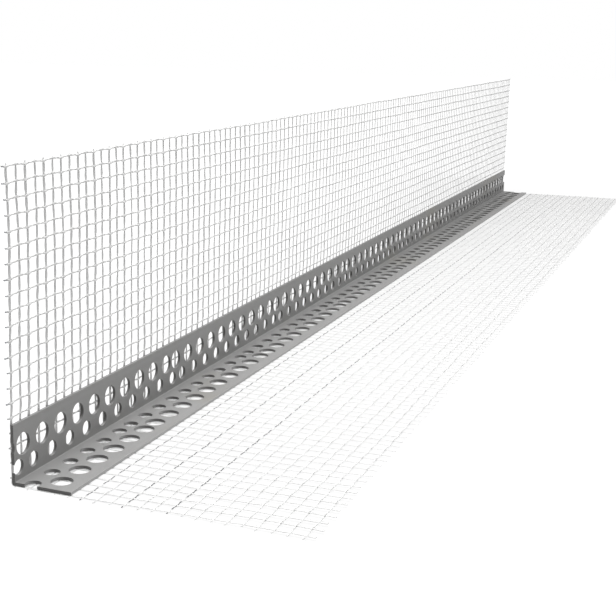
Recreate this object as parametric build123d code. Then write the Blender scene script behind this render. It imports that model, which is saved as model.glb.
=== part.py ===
from build123d import *
import math
import os

# Mesh corner bead: a perforated aluminium angle with one strip of open
# glass-fibre mesh folded round its outer side. It lies on its flat wing with
# the other wing standing up, and it runs along Y. Millimetres, Z up.

# Perforated angle, with a small radius inside and outside its corner
length = 770.0
wall = 1.0
upright_leg = 20.0
flat_leg = 21.4
corner_inside = 0.3
corner_outside = 0.5

# Punched holes: two staggered rows on each leg, punched ten at a stroke,
# with a shorter step where one stroke meets the next
large_hole = 7.4
small_hole = 5.3
large_row_from_edge = 7.6
row_spacing = 7.0
hole_pitch = 11.0
holes_per_stroke = 10
stroke_gap = 8.4
upright_first_hole = 5.2
flat_first_hole = 70.3

# Mesh: warp yarns run along the bead, weft yarns run across it
mesh_thickness = 0.45
warp_pitch = 4.9
warp_width = 0.9
weft_pitch = 5.16
weft_width = 1.2
upright_wing = 101.0
flat_wing = 99.6
warp_stub = 2.0
upright_weft_stub = 0.8
flat_weft_stub = 4.0
wefts_per_panel = 6

# Places worked out from the sizes above. The mesh's outer faces lie on X = 0
# and Z = 0 until the finished bead is moved over its origin.
outer_face = mesh_thickness
inner_face = mesh_thickness + wall
upright_top = outer_face + upright_leg
flat_edge = outer_face + flat_leg
near_end = -length / 2
to_origin = Pos(-(flat_wing + flat_weft_stub) / 2, 0, 0)


def angle_blank():
    """The angle before it is punched."""
    outside = FilletPolyline(
        (outer_face, upright_top), (outer_face, outer_face), (flat_edge, outer_face), radius=corner_outside
    )
    inside = FilletPolyline(
        (flat_edge, inner_face), (inner_face, inner_face), (inner_face, upright_top), radius=corner_inside
    )
    flat_lip = Line(outside @ 1, inside @ 0)
    upright_lip = Line(inside @ 1, outside @ 0)
    section = make_face(outside.edges() + flat_lip.edges() + inside.edges() + upright_lip.edges())
    return Pos(0, near_end, 0) * extrude(Plane.XZ * section, -length)


def row_places(first_hole, diameter):
    """Y of each hole in a row that reaches the bead, from one full stroke's first hole."""
    stroke_length = (holes_per_stroke - 1) * hole_pitch + stroke_gap
    strokes_before = math.ceil((first_hole + diameter) / stroke_length)
    strokes_after = math.ceil((length - first_hole + diameter) / stroke_length)
    places = []
    for stroke in range(-strokes_before, strokes_after):
        for hole in range(holes_per_stroke):
            along = first_hole + stroke * stroke_length + hole * hole_pitch
            if -diameter / 2 < along < length + diameter / 2:
                places.append(near_end + along)
    return places


def corner_profile():
    """The angle with its four rows of round holes."""
    upright_large_row = upright_top - large_row_from_edge
    flat_large_row = flat_edge - large_row_from_edge
    half_pitch = hole_pitch / 2
    mid_wall = (outer_face + inner_face) / 2
    rows = [
        (large_hole, upright_first_hole, upright_large_row, True),
        (small_hole, upright_first_hole + half_pitch, upright_large_row - row_spacing, True),
        (large_hole, flat_first_hole, flat_large_row, False),
        (small_hole, flat_first_hole - half_pitch, flat_large_row - row_spacing, False),
    ]
    punches = []
    for diameter, first_hole, row, upright in rows:
        for y in row_places(first_hole, diameter):
            punch = Cylinder(diameter / 2, 2 * wall)
            if upright:
                punches.append(Pos(mid_wall, y, row) * Rot(0, 90, 0) * punch)
            else:
                punches.append(Pos(row, y, mid_wall) * punch)
    return angle_blank() - punches


def comb(outline, places, width, edge, tip, across):
    """Add one side of a panel's outline, where each yarn ends in a stub from edge to tip."""
    for place in places:
        for side, reach in ((-1, edge), (-1, tip), (1, tip), (1, edge)):
            step = side * width / 2 if places[0] <= places[-1] else -side * width / 2
            point = (place + step, reach) if across else (reach, place + step)
            if not outline or outline[-1] != point:
                outline.append(point)


def mesh_panel(warps, wefts, warp_ends, weft_ends, upright):
    """A length of one wing: its yarns fused where they cross, flat, with open cells between."""
    half_warp = warp_width / 2
    half_weft = weft_width / 2
    outline = []
    comb(outline, warps, warp_width, wefts[0] - half_weft, warp_ends[0], True)
    comb(outline, wefts, weft_width, warps[-1] + half_warp, weft_ends[1], False)
    comb(outline, warps[::-1], warp_width, wefts[-1] + half_weft, warp_ends[1], True)
    comb(outline, wefts[::-1], weft_width, warps[0] - half_warp, weft_ends[0], False)
    if outline[0] == outline[-1]:
        outline.pop()

    def wire(points):
        if upright:
            return Wire.make_polygon([Vector(0, along, across) for across, along in points])
        return Wire.make_polygon([Vector(across, along, 0) for across, along in points])

    cells = []
    for low_warp, high_warp in zip(warps, warps[1:]):
        for low_weft, high_weft in zip(wefts, wefts[1:]):
            left, right = low_warp + half_warp, high_warp - half_warp
            near, far = low_weft + half_weft, high_weft - half_weft
            cells.append(wire([(left, near), (right, near), (right, far), (left, far)]))
    thickness = Vector(mesh_thickness, 0, 0) if upright else Vector(0, 0, mesh_thickness)
    return Solid.extrude(Face(wire(outline), cells), thickness)


def wing_panels(name, wing, weft_ends, upright):
    """One wing's panels along the bead, each with its share of the weft yarns."""
    first_warp = weft_ends[0] + warp_width
    warp_count = math.floor((wing - first_warp) / warp_pitch) + 1
    warps = [wing - warp_pitch * i for i in reversed(range(warp_count))]
    weft_steps = round(length / weft_pitch)
    first_weft = -weft_steps * weft_pitch / 2
    wefts = [first_weft + weft_pitch * i for i in range(weft_steps + 1)]
    panels = {}
    for start in range(0, len(wefts), wefts_per_panel):
        own = wefts[start:start + wefts_per_panel]
        near_reach = weft_pitch / 2 if start else warp_stub
        far_reach = weft_pitch / 2 if own[-1] != wefts[-1] else warp_stub
        warp_ends = (own[0] - near_reach, own[-1] + far_reach)
        panel = mesh_panel(warps, own, warp_ends, weft_ends, upright)
        panels[f"{name}_{len(panels) + 1}"] = panel
    return panels


nodes = {"corner_profile": corner_profile()}
nodes.update(wing_panels("upright_mesh", upright_wing, (0, upright_wing + upright_weft_stub), True))
nodes.update(wing_panels("flat_mesh", flat_wing, (mesh_thickness, flat_wing + flat_weft_stub), False))

os.makedirs("parts", exist_ok=True)
for node_name, shape in nodes.items():
    export_step(to_origin * shape, f"parts/{node_name}.step", write_pcurves=False)
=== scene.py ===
import bpy
import math
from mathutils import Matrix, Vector


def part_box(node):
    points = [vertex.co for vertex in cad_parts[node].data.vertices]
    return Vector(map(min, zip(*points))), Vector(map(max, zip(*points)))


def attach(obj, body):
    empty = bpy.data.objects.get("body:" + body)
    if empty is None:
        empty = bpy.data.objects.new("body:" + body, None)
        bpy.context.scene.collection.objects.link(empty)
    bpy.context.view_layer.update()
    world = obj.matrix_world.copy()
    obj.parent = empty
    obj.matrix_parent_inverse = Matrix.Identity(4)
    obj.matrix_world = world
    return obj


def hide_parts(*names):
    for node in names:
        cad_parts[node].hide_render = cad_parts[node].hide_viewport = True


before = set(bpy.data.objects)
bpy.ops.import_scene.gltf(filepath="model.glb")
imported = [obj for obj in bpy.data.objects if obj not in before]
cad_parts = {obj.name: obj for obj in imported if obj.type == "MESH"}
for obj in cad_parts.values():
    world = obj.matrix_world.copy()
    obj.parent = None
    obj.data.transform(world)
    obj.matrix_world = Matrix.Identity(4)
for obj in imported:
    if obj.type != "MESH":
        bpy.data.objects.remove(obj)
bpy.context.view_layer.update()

# The angle: one length of thin-walled aluminium angle, punched with two
# staggered rows of round holes a leg. Its dull mill finish has fine streaks
# along the bead and patches from handling. Painted shade darkens its sawn ends
# and the hole walls that face along the bead; a painted highlight lightens its outer side edge.


class Value:
    """An output of a node. Arithmetic on it adds Math nodes to its tree."""

    def __init__(self, socket):
        self.socket = socket
        self.tree = socket.id_data

    @staticmethod
    def node(tree, kind, settings=None, sockets=None, output=0):
        """Add any node: its settings, then the values or links of its sockets. Gives one output."""
        made = tree.nodes.new(kind)
        for name, setting in (settings or {}).items():
            setattr(made, name, setting)
        for name, value in (sockets or {}).items():
            for one in value if isinstance(value, list) else [value]:
                if isinstance(one, Value):
                    tree.links.new(one.socket, made.inputs[name])
                else:
                    made.inputs[name].default_value = one
        return Value(made.outputs[output]) if made.outputs else None

    def math(self, operation, first, second=0.0):
        return Value.node(self.tree, "ShaderNodeMath", {"operation": operation}, {0: first, 1: second})

    def __add__(self, other):
        return self.math("ADD", self, other)

    def __radd__(self, other):
        return self.math("ADD", other, self)

    def __sub__(self, other):
        return self.math("SUBTRACT", self, other)

    def __rsub__(self, other):
        return self.math("SUBTRACT", other, self)

    def __mul__(self, other):
        return self.math("MULTIPLY", self, other)

    def __rmul__(self, other):
        return self.math("MULTIPLY", other, self)

    def __truediv__(self, other):
        return self.math("DIVIDE", self, other)

    def __rtruediv__(self, other):
        return self.math("DIVIDE", other, self)

    def __neg__(self):
        return self.math("MULTIPLY", self, -1.0)

    def __abs__(self):
        return self.math("ABSOLUTE", self)

    def at_least(self, low):
        return self.math("MAXIMUM", self, low)

    def at_most(self, high):
        return self.math("MINIMUM", self, high)

    def share(self):
        """Held between 0 and 1."""
        return self.at_least(0.0).at_most(1.0)

    def sine(self):
        return self.math("SINE", self)

    def cosine(self):
        return self.math("COSINE", self)

    def exponential(self):
        return self.math("EXPONENT", self)

    def sign(self):
        return self.math("SIGN", self)

    def parts(self):
        """The X, Y and Z of a vector."""
        first = Value.node(self.tree, "ShaderNodeSeparateXYZ", {}, {0: self})
        return [Value(socket) for socket in first.socket.node.outputs]


def vector_of(tree, x=0.0, y=0.0, z=0.0):
    """A vector from three numbers."""
    return Value.node(tree, "ShaderNodeCombineXYZ", {}, {"X": x, "Y": y, "Z": z})


def noise_at(tree, place, scale, detail=2.0):
    """Noise from 0 to 1 at a place."""
    sockets = {"Vector": place, "Scale": scale, "Detail": detail}
    return Value.node(tree, "ShaderNodeTexNoise", {}, sockets, "Fac")


def colour_between(tree, share, first, second):
    """A colour that goes from the first to the second."""
    return Value.node(tree, "ShaderNodeMix", {"data_type": "RGBA"},
                      {"Factor": share, "A": first, "B": second}, "Result")


def new_material(name):
    """A material with an empty tree."""
    material = bpy.data.materials.new(name)
    material.use_nodes = True
    material.node_tree.nodes.clear()
    return material, material.node_tree


MM = 0.001
angle_low, angle_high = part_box("corner_profile")
dull_grey = (0.295, 0.293, 0.290, 1.0)
bright_grey = (0.395, 0.393, 0.390, 1.0)
# Painted shade: the dark grey for faces that turn along the bead, the sawn ends and the hole walls.
cut_face_painted_shade = (0.13, 0.128, 0.126, 1.0)
# Painted highlight: the paler grey for the flat leg's outer side face.
edge_face_painted_highlight = (0.48, 0.478, 0.475, 1.0)
stained_grey = (0.33, 0.318, 0.285, 1.0)
streak_stretch = (1.0, 0.02, 1.0)
streak_scale = 1100.0
streak_depth = 0.05 * MM
grain_scale = 2600.0
patch_scale = 28.0
stain_scale = 21.0
stain_level = 0.56
stain_contrast = 7.0
stain_strength = 0.6
# Width of the painted highlight along the flat leg's outer side face.
edge_highlight_width = 0.2 * MM
least_roughness = 0.46

mill_finish, tree = new_material("mill_finish_aluminium")
place = Value.node(tree, "ShaderNodeTexCoord", output="Object")
facing = Value.node(tree, "ShaderNodeTexCoord", output="Normal")
along_bead = Value.node(tree, "ShaderNodeMapping", {}, {"Vector": place, "Scale": streak_stretch})
streaks = noise_at(tree, along_bead, streak_scale, 3.0)
patches = noise_at(tree, place, patch_scale, 4.0)
grain = noise_at(tree, place, grain_scale)
# Painted shade mask: faces turned along the bead, which also get rougher.
shaded_cut_faces = (abs(facing.parts()[1]) * 1.5 - 0.5).share()
# Painted highlight mask: the outermost strip of the flat leg, its long side face.
edge_face_highlight = ((place.parts()[0] - angle_high.x) / edge_highlight_width + 1.0).share()
clean_skin = colour_between(tree, streaks * 0.4 + patches * 0.6, dull_grey, bright_grey)
blotches = noise_at(tree, place, stain_scale, 3.0)
stains = ((blotches - stain_level) * stain_contrast).share() * stain_strength
skin = colour_between(tree, stains, clean_skin, stained_grey)
# The painted highlight goes over the skin at the flat leg's side face.
with_edge = colour_between(tree, edge_face_highlight, skin, edge_face_painted_highlight)
# The painted shade goes over the faces turned along the bead.
surface = colour_between(tree, shaded_cut_faces, with_edge, cut_face_painted_shade)
rough = least_roughness + patches * 0.12 + grain * 0.06 + shaded_cut_faces * 0.12
relief = streaks * 0.6 + grain * 0.4
bump = Value.node(tree, "ShaderNodeBump", {}, {"Height": relief, "Strength": 0.2, "Distance": streak_depth})
metal = Value.node(tree, "ShaderNodeBsdfPrincipled", {}, {
    "Base Color": surface, "Metallic": 0.3, "Roughness": rough, "Normal": bump})
Value.node(tree, "ShaderNodeOutputMaterial", {}, {"Surface": metal})

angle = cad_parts["corner_profile"]
angle.data.materials.clear()
angle.data.materials.append(mill_finish)

# Weft yarns: flat rovings of glass fibre in a white coating, laid across the
# mesh strip from the standing wing's top, round the fold on the outside of the
# angle, to the loose ends at the flat wing's edge. The legs' stretch is glued.
net_low, net_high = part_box("flat_mesh_1")
wall_low, wall_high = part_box("upright_mesh_1")
glued_thickness = net_high.z - net_low.z
free_thickness = 0.94 * MM
glue_fade = 4.0 * MM
weft_pitch = 5.16 * MM
weft_count = 150
weft_height = 0.40 * MM
weft_width = 1.25 * MM
weft_thickness = 0.24 * MM
weft_sides = 6
weft_variation = 0.2
weft_pinch = 0.15
weft_taper = 0.45
weft_stub_cut = 0.3
weft_dull = (0.78, 0.78, 0.775, 1.0)
weft_clear = (0.93, 0.93, 0.925, 1.0)
warp_pitch = 4.9 * MM
upright_stub = 0.8 * MM
flat_stub = 4.0 * MM
angle_corner = 0.5 * MM
step_width = 0.01 * MM

# The strip is woven flat, then folded. Across it, 0 is where the fold begins
# on the standing wing, which lies on the negative side.
fold_radius = angle_corner + glued_thickness
fold_x = wall_low.x + fold_radius
fold_z = net_low.z + fold_radius
fold_length = fold_radius * math.pi / 2
strip_top = fold_z - wall_high.z
strip_edge = fold_length + net_high.x - fold_x
top_warp = strip_top + upright_stub
outer_warp = strip_edge - flat_stub
upright_leg_reach = fold_z - angle_high.z
flat_leg_reach = fold_length + angle_high.x - fold_x
first_weft = -(weft_count - 1) * weft_pitch / 2

# How far the yarns stray from a true grid, and how often they do so in a metre
# across and along the strip. Near the close end the standing wing's wefts hang slack.
weft_bow = {"reach": 1.3 * MM, "across": 25.0, "along": 170.0, "layer": 3.1}
weft_kink = {"reach": 0.9 * MM, "across": 230.0, "along": 190.0, "layer": 5.3}
warp_bow = {"reach": 0.9 * MM, "across": 180.0, "along": 22.0, "layer": 7.7}
wing_wave = {"reach": 1.0 * MM, "across": 16.0, "along": 11.0, "layer": 1.9}
wave_growth = 60.0 * MM
slack_reach = 1.9 * MM
slack_start = 15.0 * MM
slack_growth = 60.0 * MM
slack_fade = 100.0 * MM

# Fibres show as noise, drawn out along the yarn. The cut ends of the standing
# wing's warps get painted shade, a bluish grey.
fibres_across = 9000.0
fibres_along = 400.0
fibre_depth = 0.04 * MM
tone_scale = 130.0
# Painted shade for the cut ends of the standing wing's warps, a bluish grey.
warp_end_painted_shade = (0.42, 0.43, 0.45, 1.0)
end_shade_start = 0.8 * MM
end_shade_fade = 1.4 * MM


def new_tree(name, inputs):
    """A Geometry Nodes tree with named inputs, and those inputs by name."""
    made = bpy.data.node_groups.new(name, "GeometryNodeTree")
    made.interface.new_socket("Geometry", in_out="OUTPUT", socket_type="NodeSocketGeometry")
    for label, kind in inputs.items():
        made.interface.new_socket(label, in_out="INPUT", socket_type=kind)
    group_input = made.nodes.new("NodeGroupInput")
    return made, {label: Value(group_input.outputs[label]) for label in inputs}


def position_in(made):
    """The place of each point in a tree."""
    return Value.node(made, "GeometryNodeInputPosition")


def yarn_lines(made, line, count, start, step, seed, keep=True):
    """Copies of a straight centre line in even steps, each with a tone of its own."""
    points = Value.node(made, "GeometryNodeMeshLine", {"mode": "OFFSET"},
                        {"Count": count, "Start Location": start, "Offset": step})
    tone = Value.node(made, "FunctionNodeRandomValue", {"data_type": "FLOAT"},
                      {"Min": 0.0, "Max": 1.0, "Seed": seed}, "Value")
    toned = Value.node(made, "GeometryNodeStoreNamedAttribute", {"data_type": "FLOAT", "domain": "POINT"},
                       {"Geometry": points, "Name": "tone", "Value": tone})
    placed = Value.node(made, "GeometryNodeInstanceOnPoints", {},
                        {"Points": toned, "Selection": keep, "Instance": line})
    return Value.node(made, "GeometryNodeRealizeInstances", {}, {"Geometry": placed})


def yarn_tone(made):
    """The tone that was given to each yarn, from 0 to 1."""
    return Value.node(made, "GeometryNodeInputNamedAttribute", {"data_type": "FLOAT"}, {"Name": "tone"})


def straight_line(made, start, end, points):
    """A centre line with evenly spaced points."""
    line = Value.node(made, "GeometryNodeCurvePrimitiveLine", {}, {"Start": start, "End": end})
    return Value.node(made, "GeometryNodeResampleCurve", {"mode": "COUNT"}, {"Curve": line, "Count": points})


def sweep_yarn(made, lines, width, thickness, sides, scale):
    """Flat oval yarns on centre lines that lie in the strip."""
    level = Value.node(made, "GeometryNodeSetCurveNormal", {"mode": "Z_UP"}, {"Curve": lines})
    ring = Value.node(made, "GeometryNodeCurvePrimitiveCircle", {"mode": "RADIUS"},
                      {"Resolution": sides, "Radius": 0.5})
    oval = Value.node(made, "GeometryNodeTransform", {},
                      {"Geometry": ring, "Scale": vector_of(made, width, thickness, 1.0)})
    return Value.node(made, "GeometryNodeCurveToMesh", {},
                      {"Curve": level, "Profile Curve": oval, "Scale": scale, "Fill Caps": True})


def past_legs(across):
    """How far a place in the strip lies beyond the legs, below 0 on them."""
    return (upright_leg_reach - across).at_least(across - flat_leg_reach)


def straying(made, across, along, kind):
    """Noise from 0 to 1 over the strip, for one kind of straying."""
    place = vector_of(made, across * kind["across"], along * kind["along"], kind["layer"])
    return noise_at(made, place, 1.0, 1.0)


def settle_and_fold(made, yarns):
    """Keep each point's place in the strip, let the strip settle out of square, and fold it."""
    flat_place = position_in(made)
    kept = Value.node(made, "GeometryNodeStoreNamedAttribute",
                      {"data_type": "FLOAT_VECTOR", "domain": "POINT"},
                      {"Geometry": yarns, "Name": "strip", "Value": flat_place})
    across, along, height = position_in(made).parts()
    free = (past_legs(across) / glue_fade).share()
    thickness_left = glued_thickness / free_thickness
    height = (height + weft_height) * (thickness_left + (1.0 - thickness_left) * free)

    bow = (straying(made, across, along, weft_bow) - 0.5) * weft_bow["reach"]
    kink = (straying(made, across, along, weft_kink) - 0.5) * weft_kink["reach"]
    sideways = (straying(made, across, along, warp_bow) - 0.5) * warp_bow["reach"]
    wave = straying(made, across, along, wing_wave) * wing_wave["reach"]
    near_end = ((first_weft - along) / slack_fade).exponential()
    slack = ((-across - slack_start) / slack_growth).share() * near_end
    along = along + bow + kink + slack * slack_reach
    across = across + sideways * free
    height = height + wave * (past_legs(across) / wave_growth).share()

    turn = (across / fold_radius).at_least(0.0).at_most(math.pi / 2)
    inward = fold_radius - height
    x = fold_x - turn.cosine() * inward + (across - fold_length).at_least(0.0)
    z = fold_z - turn.sine() * inward + (-across).at_least(0.0)
    return Value.node(made, "GeometryNodeSetPosition", {},
                      {"Geometry": kept, "Position": vector_of(made, x, along, z)})


def close_tree(made, geometry, material):
    """End a tree in smooth faces, real geometry and a material."""
    smooth = Value.node(made, "GeometryNodeSetShadeSmooth", {}, {"Geometry": geometry})
    real = Value.node(made, "GeometryNodeRealizeInstances", {}, {"Geometry": smooth})
    dressed = Value.node(made, "GeometryNodeSetMaterial", {}, {"Geometry": real, "Material": material})
    Value.node(made, "NodeGroupOutput", {}, {"Geometry": dressed})


def made_by(name, made, values):
    """Run a tree with its inputs set and keep the result as a plain mesh piece."""
    piece = bpy.data.objects.new(name, bpy.data.meshes.new(name))
    bpy.context.scene.collection.objects.link(piece)
    modifier = piece.modifiers.new("made_by", "NODES")
    modifier.node_group = made
    for item in made.interface.items_tree:
        if item.in_out == "INPUT":
            modifier[item.identifier] = values[item.name]
    evaluated = piece.evaluated_get(bpy.context.evaluated_depsgraph_get())
    mesh = bpy.data.meshes.new_from_object(evaluated)
    piece.modifiers.remove(modifier)
    piece.data = mesh
    mesh.name = name
    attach(piece, "root")
    return piece


def coated_yarn(name, dull, clear, across_scale, along_scale, knotted=False):
    """Coated glass yarn with fibres and a tone of its own, and if knotted with pale knots and painted shade
    on the standing wing's cut ends.
    """
    material, tree = new_material(name)
    strip_place = Value.node(tree, "ShaderNodeAttribute", {"attribute_name": "strip"}, output="Vector")
    across, along, height = strip_place.parts()
    own_tone = Value.node(tree, "ShaderNodeAttribute", {"attribute_name": "tone"}, output="Fac")
    fibre_place = vector_of(tree, across * across_scale, along * along_scale, height * fibres_across)
    fibres = noise_at(tree, fibre_place, 1.0)
    drift = noise_at(tree, strip_place, tone_scale, 3.0)
    tone = own_tone * 0.3 + drift * 0.4 + fibres * 0.3
    if knotted:
        at_weft = ((along - first_weft) * (2 * math.pi / weft_pitch)).cosine()
        tone = tone * 0.7 + at_weft.at_least(0.0) * 0.45
    skin = colour_between(tree, tone.share(), dull, clear)
    # Painted shade on the cut ends of the standing wing's warps.
    if knotted:
        past_end = ((abs(along) + first_weft - end_shade_start) / end_shade_fade).share()
        standing = (across / -step_width).share()
        skin = colour_between(tree, past_end * standing, skin, warp_end_painted_shade)
    bump = Value.node(tree, "ShaderNodeBump", {}, {
        "Height": fibres, "Strength": 0.35, "Distance": fibre_depth})
    coat = Value.node(tree, "ShaderNodeBsdfPrincipled", {}, {
        "Base Color": skin, "Roughness": 0.42 + fibres * 0.16, "Normal": bump, "Specular IOR Level": 0.3})
    Value.node(tree, "ShaderNodeOutputMaterial", {}, {"Surface": coat})
    return material


weft_glass = coated_yarn("coated_weft_glass", weft_dull, weft_clear, fibres_along, fibres_across)
weft_tree, put = new_tree("Weft yarns", {
    "Count": "NodeSocketInt", "First": "NodeSocketFloat", "Pitch": "NodeSocketFloat",
    "Width": "NodeSocketFloat", "Thickness": "NodeSocketFloat", "Seed": "NodeSocketInt"})
steps_per_warp = 4
weft_points = round((strip_edge - strip_top) / (warp_pitch / steps_per_warp)) + 1
weft_line = straight_line(weft_tree, (strip_top, 0.0, 0.0), (strip_edge, 0.0, 0.0), weft_points)
weft_lines = yarn_lines(weft_tree, weft_line, put["Count"], vector_of(weft_tree, 0.0, put["First"]),
                        vector_of(weft_tree, 0.0, put["Pitch"]), put["Seed"])
stub_length = (position_in(weft_tree).parts()[0] - outer_warp).at_least(0.0)
stub_cut = stub_length * (yarn_tone(weft_tree) * -weft_stub_cut)
weft_lines = Value.node(weft_tree, "GeometryNodeSetPosition", {},
                        {"Geometry": weft_lines, "Offset": vector_of(weft_tree, stub_cut)})
across = position_in(weft_tree).parts()[0]
from_warp = across - top_warp - (across / step_width).share() * (outer_warp - top_warp)
pinch = (from_warp * (2 * math.pi / warp_pitch)).cosine()
taper = ((top_warp - across) / upright_stub).share()
own_scale = (1.0 - weft_variation / 2) + yarn_tone(weft_tree) * weft_variation
weft_scale = own_scale * (1.0 - pinch * weft_pinch) * (1.0 - taper * weft_taper)
wefts_swept = sweep_yarn(weft_tree, weft_lines, put["Width"], put["Thickness"], weft_sides, weft_scale)
close_tree(weft_tree, settle_and_fold(weft_tree, wefts_swept), weft_glass)

half_count = weft_count // 2
mesh_nodes = [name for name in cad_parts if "mesh" in name]
for side, first_index in (("near", 0), ("far", half_count)):
    wefts = made_by(f"weft_yarns_{side}", weft_tree, {
        "Count": half_count, "First": first_weft + first_index * weft_pitch, "Pitch": weft_pitch,
        "Width": weft_width, "Thickness": weft_thickness, "Seed": 4 + first_index})
    own_panels = [name for name in mesh_nodes if (sum(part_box(name), Vector()).y > 0) == (side == "far")]
    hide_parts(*own_panels)

# Warp yarns: a pair of fine coated glass strands at each place, which lock every
# weft between them. One strand passes over all the wefts and swings from side to
# side under its straighter partner. Their cut ends stand out at both ends.
warp_count = 21
upright_width = 0.48 * MM
flat_width = 0.40 * MM
upright_strand = 0.28 * MM
flat_strand = 0.13 * MM
upright_knot = 0.9
flat_knot = 0.3
over_swing = 0.22 * MM
standing_swing = -0.08 * MM
tuck_share = 0.55
strand_sides = 5
steps_per_weft = 5
strand_step = weft_pitch / steps_per_weft
stub_steps = 3
free_stub_cut = 0.4
glued_stub_cut = 0.35
half_steps = (weft_count - 1) * steps_per_weft // 2
end_steps = (weft_count - 1) * steps_per_weft + stub_steps
marked_warps = (5, 8, 11)
upright_seed = 11
flat_seed = 12
warp_dull = (0.84, 0.84, 0.835, 1.0)
warp_clear = (0.96, 0.96, 0.955, 1.0)

warp_glass = coated_yarn("coated_warp_glass", warp_dull, warp_clear, fibres_across, fibres_along, True)


def strands(made, put, over, marked):
    """One strand of each warp pair: the over strand or the standing one, of plain or marked warps."""
    start = vector_of(made, 0.0, put["Start"])
    end = vector_of(made, 0.0, put["End"])
    line = straight_line(made, start, end, put["Points"])
    index = Value.node(made, "GeometryNodeInputIndex")
    is_marked = sum((1.0 - abs(index - warp).at_most(1.0) for warp in marked_warps), 0.0 * index)
    keep = {"all": True, "plain": 1.0 - is_marked, "marked": is_marked}[marked]
    lines = yarn_lines(made, line, put["Count"], vector_of(made, put["First"]),
                       vector_of(made, put["Pitch"]), put["Seed"], keep)
    across, along = position_in(made).parts()[:2]
    turn = (along - first_weft) * (math.pi / weft_pitch)
    dip = (turn * 2.0).cosine()
    sideways = turn.cosine() * (over_swing if over else standing_swing)
    lift = (weft_thickness + put["Thickness"]) / 2.0
    tuck = tuck_share * put["Thickness"]
    rise = ((lift - tuck) / 2.0 + dip * (lift + tuck) / 2.0) * (1.0 if over else -1.0)
    past_end = (abs(along) + first_weft).at_least(0.0)
    glued = (1.0 - past_legs(across) / glue_fade).share()
    cut_back = past_end * (yarn_tone(made) * free_stub_cut + glued * glued_stub_cut) * -along.sign()
    woven = Value.node(made, "GeometryNodeSetPosition", {},
                       {"Geometry": lines, "Offset": vector_of(made, sideways, cut_back, rise)})
    scale = 1.0 + dip.at_least(0.0) * put["Knot"] if over else 1.0
    return sweep_yarn(made, woven, put["Width"], put["Thickness"], strand_sides, scale)


def warp_tree(name, material, wanted):
    """A tree for the wanted strands in one material."""
    made, put = new_tree(name, {
        "Count": "NodeSocketInt", "First": "NodeSocketFloat", "Pitch": "NodeSocketFloat",
        "Start": "NodeSocketFloat", "End": "NodeSocketFloat", "Points": "NodeSocketInt",
        "Width": "NodeSocketFloat", "Thickness": "NodeSocketFloat", "Knot": "NodeSocketFloat",
        "Seed": "NodeSocketInt"})
    swept = [strands(made, put, over, marked) for over, marked in wanted]
    joined = Value.node(made, "GeometryNodeJoinGeometry", {}, {"Geometry": swept})
    close_tree(made, settle_and_fold(made, joined), material)
    return made


def warp_values(first, from_step, to_step, width, thickness, knot, seed):
    """The inputs of a warp tree for one stretch of the bead."""
    return {"Count": warp_count, "First": first, "Pitch": warp_pitch,
            "Start": first_weft + from_step * strand_step, "End": first_weft + to_step * strand_step,
            "Points": to_step - from_step + 1, "Width": width, "Thickness": thickness, "Knot": knot,
            "Seed": seed}


upright_tree = warp_tree("Upright warp yarns", warp_glass, [(True, "all"), (False, "all")])
flat_tree = warp_tree("Flat warp yarns", warp_glass, [(True, "all"), (False, "plain")])
first_flat_warp = outer_warp - (warp_count - 1) * warp_pitch
for side, from_step, to_step in (("near", -stub_steps, half_steps), ("far", half_steps, end_steps)):
    upright_values = warp_values(top_warp, from_step, to_step, upright_width, upright_strand,
                                 upright_knot, upright_seed)
    flat_values = warp_values(first_flat_warp, from_step, to_step, flat_width, flat_strand,
                              flat_knot, flat_seed)
    made_by(f"upright_warp_yarns_{side}", upright_tree, upright_values)
    made_by(f"flat_warp_yarns_{side}", flat_tree, flat_values)

# Marker threads: in three warps of the flat wing the standing strand is a dark
# dyed glass thread. It shows between the wefts and is hidden at each of them.
marker_dark = (0.08, 0.08, 0.085, 1.0)
marker_worn = (0.16, 0.16, 0.165, 1.0)
marker_glass = coated_yarn("dark_marker_glass", marker_dark, marker_worn, fibres_across, fibres_along)
marker_tree = warp_tree("Marker threads", marker_glass, [(False, "marked")])
made_by("marker_threads", marker_tree,
        warp_values(first_flat_warp, -stub_steps, end_steps, flat_width, flat_strand, flat_knot, flat_seed))

# The studio: a white floor that keeps a trace of the bead's shadow, and more of
# it under the angle, where the holes show it. A soft lamp hangs overhead, nearer
# the close end, with a weak fill from all round.
floor_half = 3.0
floor_glow = 1.15
floor_grey = (0.6, 0.6, 0.6, 1.0)
floor_under_angle = (0.95, 0.95, 0.95, 1.0)
shadow_share = 0.2
angle_shadow_share = 0.65
shadow_length = 0.35
shadow_reach = 0.06
shadow_fade = 0.12
edge_fade = 1.0 * MM
fill_light = 0.22
lamp_place = Vector((-0.033, -0.31, 0.85))
lamp_target = Vector((0.0, -0.27, 0.0))


def seen_directly(tree):
    """1 where a ray comes straight from the camera, a mirror-like surface or clear glass."""
    rays = [Value.node(tree, "ShaderNodeLightPath", output=f"Is {kind} Ray")
            for kind in ("Camera", "Glossy", "Transmission")]
    return rays[0].at_least(rays[1]).at_least(rays[2])


floor_mesh = bpy.data.meshes.new("floor")
floor_mesh.from_pydata([(-floor_half, -floor_half, 0), (floor_half, -floor_half, 0),
                        (floor_half, floor_half, 0), (-floor_half, floor_half, 0)], [], [(0, 1, 2, 3)])
floor = bpy.data.objects.new("floor", floor_mesh)
bpy.context.scene.collection.objects.link(floor)

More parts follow.
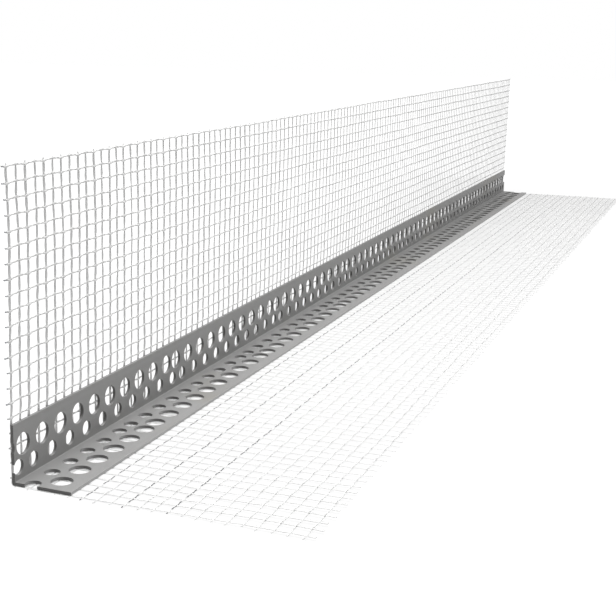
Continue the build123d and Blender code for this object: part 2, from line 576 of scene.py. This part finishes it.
floor_finish, tree = new_material("white_floor")
place_x, place_y = Value.node(tree, "ShaderNodeTexCoord", output="Object").parts()[:2]
from_bead = abs(place_x).at_least(abs(place_y) - shadow_length)
on_angle_width = ((place_x - angle_low.x).at_most(angle_high.x - place_x) / edge_fade).share()
under_angle = on_angle_width * ((angle_high.y - abs(place_y)) / edge_fade).share()
bead_shadow = (1.0 - (from_bead - shadow_reach) / shadow_fade).share() * shadow_share
shadow_left = bead_shadow.at_least(under_angle * angle_shadow_share)
floor_colour = colour_between(tree, under_angle, floor_grey, floor_under_angle)
matt = Value.node(tree, "ShaderNodeBsdfDiffuse", {}, {"Color": floor_colour})
glow = Value.node(tree, "ShaderNodeEmission", {}, {"Strength": floor_glow})
glow_share = seen_directly(tree) * (1.0 - shadow_left)
white = Value.node(tree, "ShaderNodeMixShader", {}, {0: glow_share, 1: matt, 2: glow})
Value.node(tree, "ShaderNodeOutputMaterial", {}, {"Surface": white})
floor_mesh.materials.append(floor_finish)

world = bpy.data.worlds.new("studio")
world.use_nodes = True
bpy.context.scene.world = world
tree = world.node_tree
tree.nodes.clear()
backdrop = Value.node(tree, "ShaderNodeBackground", {}, {
    "Color": (1.0, 1.0, 1.0, 1.0), "Strength": fill_light + seen_directly(tree) * (1.0 - fill_light)})
Value.node(tree, "ShaderNodeOutputWorld", {}, {"Surface": backdrop})

softbox = bpy.data.lights.new("overhead_softbox", "AREA")
softbox.shape = "SQUARE"
softbox.size = 0.64
softbox.energy = 8.9
lamp = bpy.data.objects.new("overhead_softbox", softbox)
lamp.location = lamp_place
lamp.rotation_euler = (lamp_target - lamp_place).to_track_quat("-Z", "Y").to_euler()
bpy.context.scene.collection.objects.link(lamp)

# The camera: at the photograph's angle, low and off the close end. Its place,
# turn, lens and shift were fitted to the bead's own edges.
camera_turn = (76.377, -0.865, 21.801)
camera_data = bpy.data.cameras.new("camera")
camera_data.sensor_width = 36.0
camera_data.lens = 68.8
camera_data.shift_x = 0.0435
camera_data.shift_y = 0.0084
camera = bpy.data.objects.new("camera", camera_data)
camera.location = (0.15537, -0.67861, 0.14235)
camera.rotation_euler = [math.radians(degrees) for degrees in camera_turn]
bpy.context.scene.collection.objects.link(camera)
bpy.context.scene.camera = camera
bpy.context.scene.view_settings.view_transform = "Standard"
